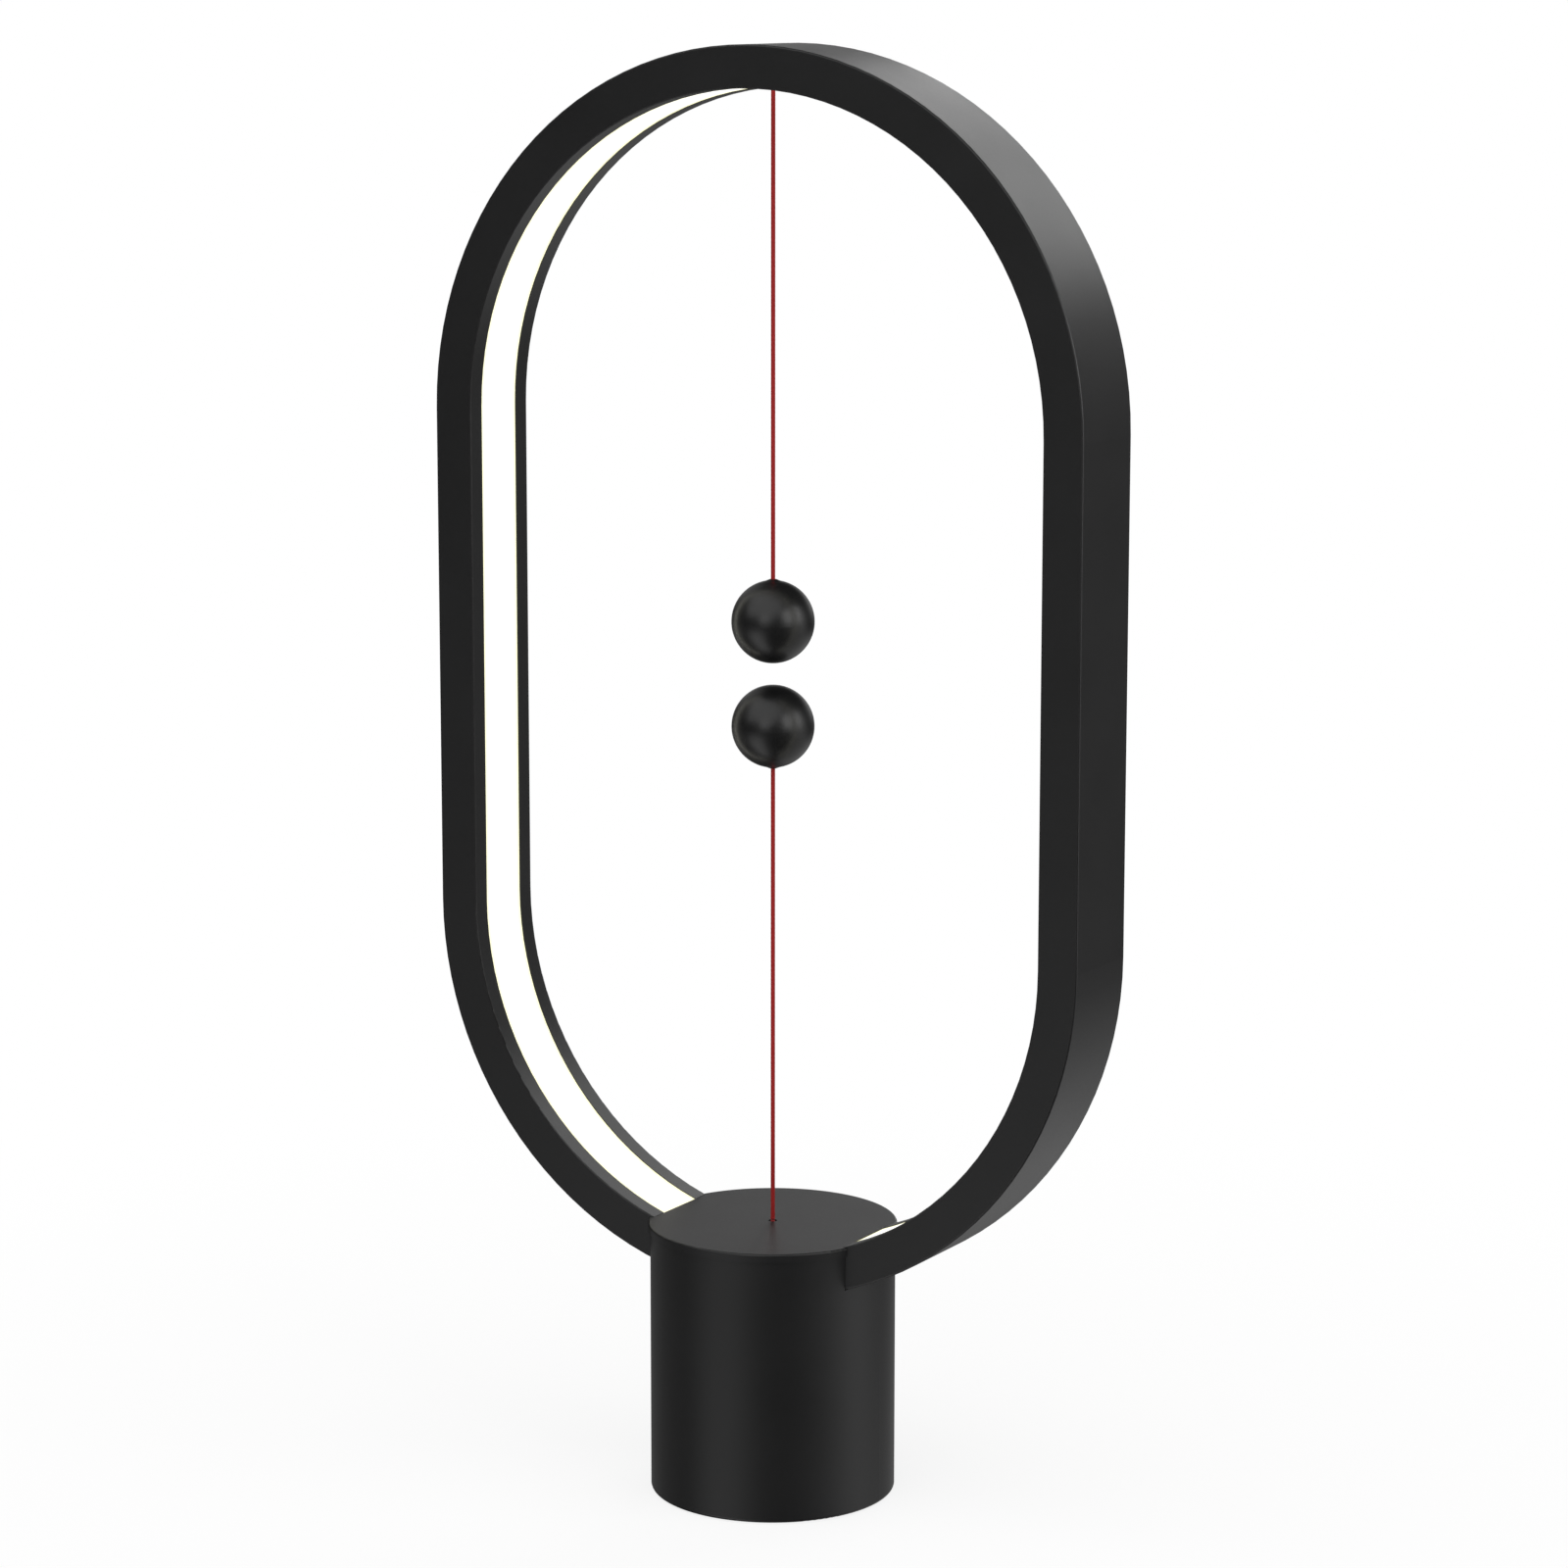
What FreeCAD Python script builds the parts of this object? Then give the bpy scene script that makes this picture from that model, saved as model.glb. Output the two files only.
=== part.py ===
"""Magnetic balance lamp: a stadium-shaped light ring standing in a round base, switched by two
magnetic balls on cords that hold each other up in the middle of the ring.

Millimetres. The origin is the centre of the underside, +Z is up, the ring lies in the XZ plane
and the lamp's front faces -Y.
"""

import FreeCAD, Part
import math
import os

# ---------------------------------------------------------------- driving dimensions
# Light ring
RING_WIDTH = 200.0  # across the outsides of the two limbs
RING_STRAIGHT = 139.0  # straight length of each limb, between the arcs
RING_THICKNESS = 11.5  # outside of the ring to its inside
RING_DEPTH = 28.0  # front face to rear face
RING_SINK = 16.8  # how far the ring's lowest point lies below the top of the base
RING_WALL = 2.0
RING_EDGE_RADIUS = 0.5
LIP_WIDTH = 5.5  # rim on each side of the light strip
LIP_EDGE_RADIUS = 0.3
COVER_SKIRT = 1.2  # rib of the rear cover that snaps inside the outer wall
COVER_SKIRT_DEPTH = 2.6
KEEPER_THICKNESS = 1.1  # ribs behind the diffuser's edges
KEEPER_WIDTH = 2.8

# Light strip
DIFFUSER_RECESS = 0.2
DIFFUSER_FLANGE = 1.4
DIFFUSER_REACH = 1.6  # how far the flange goes behind each lip
DIFFUSER_TUCK = 5.0  # how far its ends go under the cap
STRIP_WIDTH = 8.0
STRIP_THICKNESS = 0.3
STRIP_TUCK = 7.5
CHIP_SIZE = (3.5, 2.8, 0.8)  # along the strip, across it, height
CHIP_PITCH = 16.5
MOUTH_RADIUS = 1.0  # hole that the upper cord hangs from
ANCHOR_LENGTH = 10.0
ANCHOR_SEAT = 2.1  # knot's seat above the block's underside

# Base
BASE_DIAMETER = 68.0
BASE_HEIGHT = 76.3
BASE_WALL = 2.4
BASE_CLEARANCE = 0.2  # the wall's lower edge above the table
BASE_EDGE_RADIUS = 1.0
CAP_THICKNESS = 2.5
CAP_EDGE_RADIUS = 0.5
CAP_OVERHANG = 0.5  # the disc reaches this far past the wall below it
CAP_SPIGOT_HEIGHT = 2.0
CAP_SPIGOT_WALL = 1.2
SADDLE_LENGTH = 48.0
SADDLE_WIDTH = 24.0
SADDLE_THICKNESS = 7.5
SHELF_THICKNESS = 2.5
FRAME_SCREW_SPACING = 20.0
FRAME_BOSS_RADIUS = 3.0
FRAME_BOSS_HEIGHT = 8.5
PLATE_THICKNESS = 3.0
FOOT_THICKNESS = 1.0
FOOT_BORDER = 2.0  # ring of plate left outside the foot pad
POST_RADIUS = 2.2  # posts under the control board
BOSS_RADIUS = 2.8  # bosses for the bottom screws
BOSS_WEB = 2.4  # rib that ties a boss to the wall

# Magnetic balls and their cords
BALL_RADIUS = 11.3
BALL_WALL = 1.8
BALL_GAP = 6.1  # between the two balls
BALL_LAP = 1.0  # overlap of the two halves at the equator
LOWER_CORD_FREE = 127.6  # top of the base to the lower ball
MAGNET_RADIUS = 6.0
MAGNET_HEIGHT = 6.0
MAGNET_CUP_WALL = 1.1
NECK_HEIGHT = 0.3  # low collar round the hole for the cord
NECK_RADIUS = 2.2
NECK_TIP_RADIUS = 0.95
CORD_RADIUS = 0.6
KNOT_RADIUS = 1.4
KNOT_SEAT_DEPTH = 4.6  # from a ball's surface to the knot inside it
PIVOT_STANDOFF = 0.8  # the upper cord bends this far below the light strip
BEND_RADIUS = 0.65  # short flexing length of a cord at its mouth
KNOT_FLAT = 0.9  # a pulled knot's centre above its seat, in knot radii

# Pull switch
PULL_TRAVEL = 1.5
GUIDE_RADIUS = 2.5
GUIDE_BORE = 1.2
GUIDE_FLANGE_RADIUS = 4.2
GUIDE_FLANGE = 1.6
SPRING_LENGTH = 6.5
SPRING_WIRE = 0.5
SPRING_RADIUS = 2.6  # to the middle of the wire
SPRING_TURNS = 6
STEM_RADIUS = 1.7
COLLAR_RADIUS = 3.4
COLLAR_THICKNESS = 1.2
FOOT_FLANGE_RADIUS = 4.2
KNOT_CUP_WALL = 1.0
SWITCH_SIZE = (12.8, 5.8, 6.5)
SWITCH_SCREW_SPACING = 6.5
LEVER_WIDTH = 3.6
LEVER_THICKNESS = 0.3
LEVER_EYE_RADIUS = 0.5
LEVER_PIN_RADIUS = 0.22
LEVER_DROP = 0.7  # lever pin below the switch body
LEVER_PLAY = 0.15  # between the lever and the plunger's foot
LEVER_ARM = 12.0  # lever pin to the middle of the plunger
BUTTON_RADIUS = 0.8
BUTTON_ARM = 4.5  # lever pin to the button
BUTTON_LENGTH = 2.6
BUTTON_PROUD = 0.35
BUTTON_BORE = 3.0
TERMINAL_SIZE = (0.6, 2.4, 3.0)
TERMINAL_SPACING = 4.2
BRACKET_THICKNESS = 1.2
BRACKET_WIDTH = 9.0
BRACKET_FOOT = 8.5

# Electronics and ballast
BOARD_THICKNESS = 1.6
BOARD_ROOM = 4.4  # under the plunger's lowest part, for the parts on the board
BALLAST_ROOM = 2.6  # under the board
USB_SIZE = (7.5, 5.6, 2.7)
USB_SHELL = 0.35
USB_RECESS = 0.6  # socket mouth behind the outside of the base
USB_CUTOUT = (9.6, 4.8)
USB_TONGUE = (3.8, 0.6, 1.0)  # width, thickness, distance behind the mouth
LEAD_RADIUS = 0.5
LEAD_HOLE_RADIUS = 1.7
LEAD_HOLE_INSET = 3.5  # from the end of the strip to the hole for its leads
LEAD_SPACING = 1.5
LEAD_LOOP = 9.0  # how far to the front the switch leads hang
LEAD_STUB = 0.3  # straight length of a switch lead before its loop
LEAD_BLOCK = (5.0, 10.0, 3.0)
DRIVER_CHIP = (5.0, 5.0, 1.0)
DRIVER_PLACE = (10.5, 12.5)
COIL_SIZE = (6.0, 6.0, 3.0)
COIL_PLACE = (9.0, -15.0)
CAPACITOR_RADIUS = 2.5
CAPACITOR_HEIGHT = 5.0
CAPACITOR_PLACES = ((-17.0, 13.0), (-10.0, 18.0))
RESISTOR_SIZE = (1.2, 2.0, 0.7)
RESISTOR_COUNT = 6
RESISTOR_PITCH = 2.8
RESISTOR_ROW = -21.0

# Screws: head radius, head height, shank radius
FRAME_SCREW = (2.8, 1.8, 1.4)
BOTTOM_SCREW = (2.4, 1.3, 1.3)
BOARD_SCREW = (2.0, 1.2, 1.0)
SWITCH_SCREW = (1.6, 1.0, 0.9)
CROSS_RECESS = (0.6, 0.12)  # half length and half width of a slot, in head radii
SCREW_REST = 1.0  # hole left beyond a screw's tip
BOTTOM_SCREW_GRIP = 7.0

# Clearances
FIT = 0.1  # parts that locate each other
SEAM = 0.15  # visible joint round the rear cover
SCREW_CLEARANCE = 0.2
SCREW_BITE = 0.05  # thread in its pilot hole
CORD_CLEARANCE = 0.05
SLIDE_CLEARANCE = 0.07
PART_CLEARANCE = 0.5  # between parts that only have to miss each other

# ---------------------------------------------------------------- derived places
OUTER_R = RING_WIDTH / 2
INNER_R = OUTER_R - RING_THICKNESS
HALF_STRAIGHT = RING_STRAIGHT / 2
HALF_DEPTH = RING_DEPTH / 2
RING_BOTTOM = BASE_HEIGHT - RING_SINK
RING_CENTRE = RING_BOTTOM + OUTER_R + HALF_STRAIGHT
RING_TOP = RING_CENTRE + HALF_STRAIGHT + OUTER_R
LIP_EDGE = HALF_DEPTH - LIP_WIDTH
FLANGE_INSET = RING_THICKNESS - RING_WALL - FIT
DIFFUSER_INSET = RING_THICKNESS - DIFFUSER_RECESS
FLANGE_BACK = FLANGE_INSET - DIFFUSER_FLANGE
STRIP_INSET = RING_WALL + CORD_CLEARANCE
CHIP_INSET = STRIP_INSET + STRIP_THICKNESS + CORD_CLEARANCE
KEEPER_INSET = FLANGE_BACK - FIT

BASE_R = BASE_DIAMETER / 2
BASE_BORE = BASE_R - BASE_WALL
CAP_BOTTOM = BASE_HEIGHT - CAP_THICKNESS
CAP_HALF = math.sqrt(INNER_R**2 - (RING_BOTTOM + OUTER_R - BASE_HEIGHT) ** 2)
DIFFUSER_END = CAP_HALF - DIFFUSER_TUCK
STRIP_END = CAP_HALF - STRIP_TUCK
LEAD_HOLE_X = STRIP_END - LEAD_HOLE_INSET
SHELF_TOP = RING_BOTTOM - SADDLE_THICKNESS
SHELF_BOTTOM = SHELF_TOP - SHELF_THICKNESS

LOWER_BALL = BASE_HEIGHT + LOWER_CORD_FREE + BALL_RADIUS
UPPER_BALL = LOWER_BALL + 2 * BALL_RADIUS + BALL_GAP
MOUTH_Z = RING_TOP - DIFFUSER_INSET
ANCHOR_BOTTOM = RING_TOP - KEEPER_INSET
ANCHOR_TOP = RING_TOP - CHIP_INSET - PART_CLEARANCE
ANCHOR_KNOT_Z = ANCHOR_BOTTOM + ANCHOR_SEAT
ANCHOR_HALF_WIDTH = HALF_DEPTH - RING_WALL - KEEPER_WIDTH - FIT
UPPER_PIVOT = MOUTH_Z - PIVOT_STANDOFF
LOWER_PIVOT = BASE_HEIGHT + PULL_TRAVEL / 2
BEND_ROOM = BEND_RADIUS + CORD_CLEARANCE

GUIDE_BOTTOM = SHELF_BOTTOM - GUIDE_FLANGE
COLLAR_TOP = GUIDE_BOTTOM - SPRING_LENGTH
COLLAR_BOTTOM = COLLAR_TOP - COLLAR_THICKNESS
SWITCH_TOP = COLLAR_BOTTOM - PULL_TRAVEL - PART_CLEARANCE
SWITCH_BOTTOM = SWITCH_TOP - SWITCH_SIZE[2]
LEVER_PIN_X = -LEVER_ARM
LEVER_PIN_Z = SWITCH_BOTTOM - LEVER_DROP
LEVER_BOTTOM = LEVER_PIN_Z - LEVER_THICKNESS / 2
LEVER_TIP_X = -(STEM_RADIUS + PART_CLEARANCE)
SWITCH_MAX_X = -(STEM_RADIUS + PART_CLEARANCE)
SWITCH_MIN_X = SWITCH_MAX_X - SWITCH_SIZE[0]
SWITCH_X = (SWITCH_MIN_X + SWITCH_MAX_X) / 2
SWITCH_SCREW_Z = SWITCH_TOP - SWITCH_SIZE[2] / 4
SWITCH_SCREW_PLACES = (SWITCH_X - SWITCH_SCREW_SPACING / 2, SWITCH_X + SWITCH_SCREW_SPACING / 2)
TERMINAL_PLACES = (SWITCH_X - TERMINAL_SPACING, SWITCH_X, SWITCH_X + TERMINAL_SPACING)
TERMINAL_TOP = SWITCH_TOP + TERMINAL_SIZE[2]
BUTTON_X = LEVER_PIN_X + BUTTON_ARM
BUTTON_BOTTOM = SWITCH_BOTTOM - BUTTON_PROUD
BRACKET_SCREW_Y = SWITCH_SIZE[1] / 2 + (BRACKET_FOOT + BRACKET_THICKNESS) / 2
FOOT_TOP = LEVER_BOTTOM - LEVER_PLAY
FOOT_BOTTOM = FOOT_TOP - COLLAR_THICKNESS
KNOT_CEILING = FOOT_TOP - COLLAR_THICKNESS / 2
KNOT_CUP_BOTTOM = KNOT_CEILING - 2 * KNOT_RADIUS
PLUNGER_LOW = KNOT_CUP_BOTTOM - PULL_TRAVEL

BOARD_TOP = PLUNGER_LOW - BOARD_ROOM
BOARD_BOTTOM = BOARD_TOP - BOARD_THICKNESS
BALLAST_TOP = BOARD_BOTTOM - BALLAST_ROOM
PLATE_TOP = BASE_CLEARANCE + PLATE_THICKNESS
BOTTOM_SCREW_TIP = PLATE_TOP + BOTTOM_SCREW_GRIP
FOOT_RADIUS = BASE_BORE - FOOT_BORDER
POST_CIRCLE = BASE_BORE - POST_RADIUS - PART_CLEARANCE
BOSS_CIRCLE = FOOT_RADIUS - BOTTOM_SCREW[0] - PART_CLEARANCE
BALLAST_RADIUS = min(POST_CIRCLE - POST_RADIUS, BOSS_CIRCLE - BOSS_RADIUS) - PART_CLEARANCE
USB_Z = BOARD_TOP + USB_SIZE[2] / 2
POST_ANGLES = (30, 150, 270)
BOSS_ANGLES = (90, 210, 330)
FRAME_SCREW_PLACES = (-FRAME_SCREW_SPACING / 2, FRAME_SCREW_SPACING / 2)


# ---------------------------------------------------------------- helpers
def vec(x, y, z):
    return FreeCAD.Vector(x, y, z)


def cylinder(radius, low, high, x=0.0, y=0.0):
    return Part.makeCylinder(radius, high - low, vec(x, y, low))


def cylinder_y(radius, low, high, x, z):
    return Part.makeCylinder(radius, high - low, vec(x, low, z), vec(0, 1, 0))


def tube(outer, inner, low, high, x=0.0, y=0.0):
    return cylinder(outer, low, high, x, y).cut(cylinder(inner, low, high, x, y))


def block(x0, x1, y0, y1, z0, z1):
    return Part.makeBox(x1 - x0, y1 - y0, z1 - z0, vec(x0, y0, z0))


def union(*shapes):
    joined = shapes[0].fuse(list(shapes[1:])) if len(shapes) > 1 else shapes[0]
    return joined.removeSplitter()


def on_circle(radius, angles):
    """Points on a circle about the lamp's axis, at angles in degrees."""
    return [
        (radius * math.cos(math.radians(a)), radius * math.sin(math.radians(a)))
        for a in angles
    ]


def stadium(inset, y0, y1):
    """The ring's outline moved inwards by inset, as a solid from y0 to y1."""
    radius = OUTER_R - inset
    high = RING_CENTRE + HALF_STRAIGHT
    low = RING_CENTRE - HALF_STRAIGHT
    right_top = vec(radius, y0, high)
    left_top = vec(-radius, y0, high)
    left_low = vec(-radius, y0, low)
    right_low = vec(radius, y0, low)
    edges = [
        Part.Arc(right_top, vec(0, y0, high + radius), left_top).toShape(),
        Part.LineSegment(left_top, left_low).toShape(),
        Part.Arc(left_low, vec(0, y0, low - radius), right_low).toShape(),
        Part.LineSegment(right_low, right_top).toShape(),
    ]
    return Part.Face(Part.Wire(edges)).extrude(vec(0, y1 - y0, 0))


def band(outer_inset, inner_inset, y0, y1):
    """A closed band that follows the ring between two insets."""
    return stadium(outer_inset, y0, y1).cut(stadium(inner_inset, y0, y1))


def ring_edges(shape, inset, y):
    """The edges that follow the ring at one inset, in the plane at y."""
    found = []
    for edge in shape.Edges:
        middle = edge.valueAt((edge.FirstParameter + edge.LastParameter) / 2)
        over = max(abs(middle.z - RING_CENTRE) - HALF_STRAIGHT, 0.0)
        reach = math.hypot(middle.x, over)
        if abs(middle.y - y) < 1e-3 and abs(reach - (OUTER_R - inset)) < 1e-3:
            found.append(edge)
    return found


def below_cap(clearance):
    """The room that the cap takes out of the ring."""
    half = CAP_HALF + clearance
    return block(-half, half, -RING_DEPTH, RING_DEPTH, CAP_BOTTOM, BASE_HEIGHT + RING_THICKNESS)


def base_gap(half_width):
    """The stretch at the bottom of the ring that an inner strip leaves free."""
    return block(-half_width, half_width, -RING_DEPTH, RING_DEPTH, 0, RING_CENTRE)


def screw(size, x, y, seat, tip):
    """A pan-head screw with a cross recess: the head lies under the seat, and the shank ends at tip."""
    head_r, head_h, shank_r = size
    towards = 1 if tip > seat else -1
    head_low, head_high = sorted((seat - towards * head_h, seat))
    shank_low, shank_high = sorted((seat, tip))
    body = union(
        cylinder(head_r, head_low, head_high, x, y),
        cylinder(shank_r, shank_low, shank_high, x, y),
    )
    recess_low, recess_high = sorted((seat - towards * head_h, seat - towards * head_h / 2))
    for long_x, long_y in (CROSS_RECESS, CROSS_RECESS[::-1]):
        arm_x = head_r * long_x
        arm_y = head_r * long_y
        body = body.cut(block(x - arm_x, x + arm_x, y - arm_y, y + arm_y, recess_low, recess_high))
    return body


def lead(points, bend):
    """A round wire along straight runs joined by arcs of one radius."""
    edges = []
    start = points[0]
    for before, corner, after in zip(points, points[1:], points[2:]):
        along = (corner - before).normalize()
        onward = (after - corner).normalize()
        trim = bend * math.tan(along.getAngle(onward) / 2)
        arc_in = corner - along * trim
        arc_out = corner + onward * trim
        inward = (onward - along).normalize()
        centre = arc_in + (inward - along * inward.dot(along)).normalize() * bend
        arc_mid = centre + (corner - centre).normalize() * bend
        edges.append(Part.LineSegment(start, arc_in).toShape())
        edges.append(Part.Arc(arc_in, arc_mid, arc_out).toShape())
        start = arc_out
    edges.append(Part.LineSegment(start, points[-1]).toShape())
    path = Part.Wire(edges)
    direction = (points[1] - points[0]).normalize()
    section = Part.Wire(Part.makeCircle(LEAD_RADIUS, points[0], direction))
    return path.makePipeShell([section], True, False)


def group(solids):
    return Part.makeCompound(solids)


NODES = {}


# ---------------------------------------------------------------- light ring
def frame_holes():
    """Holes through the ring's lowest wall: cord guide, frame screws and light leads."""
    low = RING_BOTTOM - RING_WALL
    high = RING_BOTTOM + FRAME_BOSS_HEIGHT + RING_WALL
    holes = [cylinder(GUIDE_RADIUS + FIT, low, high)]
    for x in FRAME_SCREW_PLACES:
        holes.append(cylinder(FRAME_SCREW[2] + SCREW_BITE, low, high, x))
    holes.append(cylinder(LEAD_HOLE_RADIUS, low, high + RING_WALL, LEAD_HOLE_X))
    return holes


def make_frame_housing():
    """Front face, outer wall and front lip in one moulding, with bosses over the base."""
    face = band(0, RING_THICKNESS, -HALF_DEPTH, -HALF_DEPTH + RING_WALL)
    wall = band(0, RING_WALL, -HALF_DEPTH, HALF_DEPTH)
    lip = band(RING_THICKNESS - RING_WALL, RING_THICKNESS, -HALF_DEPTH, -LIP_EDGE)
    keeper_front = -HALF_DEPTH + RING_WALL
    keeper_back = keeper_front + KEEPER_WIDTH
    keeper = band(KEEPER_INSET - KEEPER_THICKNESS, KEEPER_INSET, keeper_front, keeper_back)
    shell = union(face, wall, lip, keeper)
    shell = shell.makeFillet(
        RING_EDGE_RADIUS, ring_edges(shell, 0, -HALF_DEPTH) + ring_edges(shell, 0, HALF_DEPTH)
    )
    shell = shell.makeFillet(LIP_EDGE_RADIUS, ring_edges(shell, RING_THICKNESS, -HALF_DEPTH))
    bosses = [
        cylinder(FRAME_BOSS_RADIUS, RING_BOTTOM, RING_BOTTOM + FRAME_BOSS_HEIGHT, x)
        for x in FRAME_SCREW_PLACES
    ]
    inside = stadium(RING_WALL / 2, -HALF_DEPTH, HALF_DEPTH)
    shell = union(shell, *[boss.common(inside) for boss in bosses])
    return shell.cut([below_cap(FIT)] + frame_holes())


def make_frame_rear_cover():
    """Rear face and rear lip, set into the housing's outer wall by a snap rib."""
    rear = HALF_DEPTH - RING_WALL
    edge = RING_WALL + SEAM
    face = band(edge, RING_THICKNESS, rear, HALF_DEPTH)
    lip = band(RING_THICKNESS - RING_WALL, RING_THICKNESS, LIP_EDGE, HALF_DEPTH)
    skirt = band(edge, edge + COVER_SKIRT, rear - COVER_SKIRT_DEPTH, rear)
    keeper = band(KEEPER_INSET - KEEPER_THICKNESS, KEEPER_INSET, rear - KEEPER_WIDTH, rear)
    shell = union(face, lip, skirt, keeper)
    shell = shell.makeFillet(LIP_EDGE_RADIUS, ring_edges(shell, RING_THICKNESS, HALF_DEPTH))
    return shell.cut(below_cap(FIT))


def make_diffuser():
    """Milky light strip between the lips, held behind them by its wider flange."""
    half = LIP_EDGE - FIT
    tongue = band(FLANGE_BACK, DIFFUSER_INSET, -half, half)
    flange = band(FLANGE_BACK, FLANGE_INSET, -half - DIFFUSER_REACH, half + DIFFUSER_REACH)
    mouth = cylinder(MOUTH_RADIUS, MOUTH_Z - RING_WALL, RING_TOP)
    return union(tongue, flange).cut([below_cap(FIT), base_gap(DIFFUSER_END), mouth])


def make_led_strip():
    """Flexible circuit on the inside of the outer wall."""
    half = STRIP_WIDTH / 2
    return band(STRIP_INSET, STRIP_INSET + STRIP_THICKNESS, -half, half).cut(base_gap(STRIP_END))


def strip_place(distance, radius):
    """The point and outward angle at a distance along the strip from the middle of the top."""
    arc = radius * math.pi / 2
    side = 1 if distance >= 0 else -1
    distance = abs(distance)
    if distance < arc:
        turn = distance / radius
        return (
            side * radius * math.sin(turn),
            RING_CENTRE + HALF_STRAIGHT + radius * math.cos(turn),
            side * turn,
        )
    distance -= arc
    if distance < RING_STRAIGHT:
        return side * radius, RING_CENTRE + HALF_STRAIGHT - distance, side * math.pi / 2
    turn = math.pi / 2 + (distance - RING_STRAIGHT) / radius
    return (
        side * radius * math.sin(turn),
        RING_CENTRE - HALF_STRAIGHT + radius * math.cos(turn),
        side * turn,
    )


def make_led_chips():
    """White light-emitting chips along the strip, evenly spaced and clear of the cord anchor."""
    along, across, height = CHIP_SIZE
    surface = OUTER_R - CHIP_INSET
    last = surface * (math.pi - math.asin(CAP_HALF / surface)) + RING_STRAIGHT
    pairs = round(last / CHIP_PITCH)
    pitch = last / (pairs - 0.5)
    chips = []
    for index in range(pairs):
        for side in (-1, 1):
            x, z, turn = strip_place(side * pitch * (index + 0.5), surface)
            chip = block(-along / 2, along / 2, -across / 2, across / 2, -height, 0)
            chip.rotate(vec(0, 0, 0), vec(0, 1, 0), math.degrees(turn))
            chip.translate(vec(x, 0, z))
            chips.append(chip)
    return group(chips)


def make_cord_anchor():
    """Block behind the top of the diffuser that the upper cord's knot sits in."""
    half_l = ANCHOR_LENGTH / 2
    half_w = ANCHOR_HALF_WIDTH
    body = block(-half_l, half_l, -half_w, half_w, ANCHOR_BOTTOM, ANCHOR_TOP)
    pocket = cylinder(KNOT_RADIUS + FIT, ANCHOR_KNOT_Z, ANCHOR_TOP)
    hole = cylinder(CORD_RADIUS + CORD_CLEARANCE, ANCHOR_BOTTOM, ANCHOR_KNOT_Z)
    return body.cut([pocket, hole])


def knot(seat, side):
    """A round knot that bears on a flat seat: side 1 has the knot above the seat, -1 below it."""
    centre = seat + side * KNOT_RADIUS * KNOT_FLAT
    ball = Part.makeSphere(KNOT_RADIUS, vec(0, 0, centre))
    beyond = sorted((seat, seat - side * KNOT_RADIUS))
    return ball.cut(cylinder(2 * KNOT_RADIUS, beyond[0], beyond[1]))


NODES["frame_housing"] = make_frame_housing()
NODES["frame_rear_cover"] = make_frame_rear_cover()
NODES["diffuser"] = make_diffuser()
NODES["led_strip"] = make_led_strip()
NODES["led_chips"] = make_led_chips()
NODES["cord_anchor"] = make_cord_anchor()
NODES["upper_anchor_knot"] = knot(ANCHOR_KNOT_Z, 1)
NODES["upper_cord_tail"] = cylinder(CORD_RADIUS, UPPER_PIVOT + BEND_ROOM, ANCHOR_KNOT_Z)


# ---------------------------------------------------------------- magnetic balls
def make_magnet_half(direction):
    """Half shell that faces the other ball, with the magnet's cup. The ball's centre is the origin."""
    inner = BALL_RADIUS - BALL_WALL
    floor = math.sqrt(inner**2 - (MAGNET_RADIUS + FIT) ** 2)
    lap_radius = inner + BALL_WALL / 2 - FIT / 2
    ball = Part.makeSphere(BALL_RADIUS)
    hollow = Part.makeSphere(inner)
    lower = block(-BALL_RADIUS, BALL_RADIUS, -BALL_RADIUS, BALL_RADIUS, -BALL_RADIUS, 0)
    shell = ball.common(lower).cut(hollow)
    cup_top = MAGNET_HEIGHT - floor + PART_CLEARANCE
    cup = cylinder(MAGNET_RADIUS + FIT + MAGNET_CUP_WALL, -BALL_RADIUS, cup_top).common(ball)
    pocket = cylinder(MAGNET_RADIUS + FIT, -floor, BALL_RADIUS)
    lap = tube(lap_radius, inner, -BALL_LAP, BALL_LAP)
    half = union(shell, cup, lap).cut(pocket)
    if direction > 0:
        half.rotate(vec(0, 0, 0), vec(1, 0, 0), 180)
    return half


def make_cord_half(direction):
    """Half shell that the cord enters, with its boss, its neck and the rib that holds the magnet."""
    inner = BALL_RADIUS - BALL_WALL
    seat = BALL_RADIUS - KNOT_SEAT_DEPTH
    floor = math.sqrt(inner**2 - (MAGNET_RADIUS + FIT) ** 2)
    lap_radius = inner + BALL_WALL / 2 + FIT / 2
    ball = Part.makeSphere(BALL_RADIUS)
    hollow = Part.makeSphere(inner)
    upper = block(-BALL_RADIUS, BALL_RADIUS, -BALL_RADIUS, BALL_RADIUS, 0, BALL_RADIUS)
    shell = ball.common(upper).cut(hollow)
    boss = cylinder(2 * KNOT_RADIUS, seat, BALL_RADIUS).common(ball)
    rib_low = MAGNET_HEIGHT - floor + FIT
    rib = tube(MAGNET_RADIUS - MAGNET_CUP_WALL, MAGNET_RADIUS - 2 * MAGNET_CUP_WALL, rib_low, BALL_RADIUS)
    neck_low = math.sqrt(BALL_RADIUS**2 - NECK_RADIUS**2)
    neck_height = BALL_RADIUS + NECK_HEIGHT - neck_low
    neck = Part.makeCone(NECK_RADIUS, NECK_TIP_RADIUS, neck_height, vec(0, 0, neck_low))
    recess = cylinder(lap_radius, 0, BALL_LAP + FIT)
    hole = cylinder(CORD_RADIUS + CORD_CLEARANCE, 0, BALL_RADIUS + NECK_HEIGHT)
    half = union(shell.cut(recess), boss, rib.common(ball), neck).cut(hole)
    if direction > 0:
        half.rotate(vec(0, 0, 0), vec(1, 0, 0), 180)
    return half


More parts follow.
